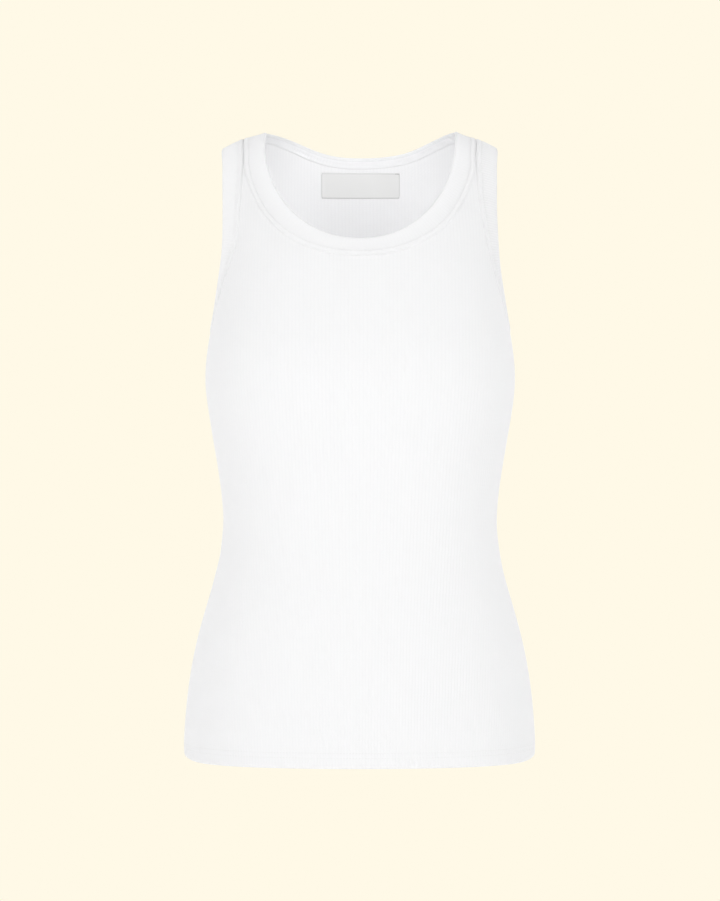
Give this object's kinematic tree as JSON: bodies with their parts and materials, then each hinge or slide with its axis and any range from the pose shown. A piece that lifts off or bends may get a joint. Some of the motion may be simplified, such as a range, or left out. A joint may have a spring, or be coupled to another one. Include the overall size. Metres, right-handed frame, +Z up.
{
  "type": "tank top",
  "caption": "Women's close-fitting ribbed tank top that keeps its hollow worn shape, open at the neck, armholes and hem.",
  "frame": {"origin": "midway between the two straps, level with the underside of the shoulder tops, where the wearer's shoulders hold the garment", "axes": "+Z up, towards the neck; -Y the way the front faces; +X the right of someone looking at the front"},
  "size_m": [0.3336, 0.2478, 0.589],
  "materials": {
    "front_panel": "matt white fine rib knit, ribs running up and down",
    "back_panel": "matt white fine rib knit, ribs running up and down",
    "neck_band": "matt white rib knit, folded double, ribs across the band",
    "armhole_band_right": "matt white rib knit, folded double, ribs across the band",
    "armhole_band_left": "matt white rib knit, folded double, ribs across the band",
    "neck_label": "smooth off-white woven ribbon, bare"
  },
  "bodies": {
    "root": {"front_panel": "front_panel", "back_panel": "back_panel", "neck_band": "neck_band", "armhole_band_right": "armhole_band_right", "armhole_band_left": "armhole_band_left", "neck_label": "neck_label"}
  },
  "joints": []
}
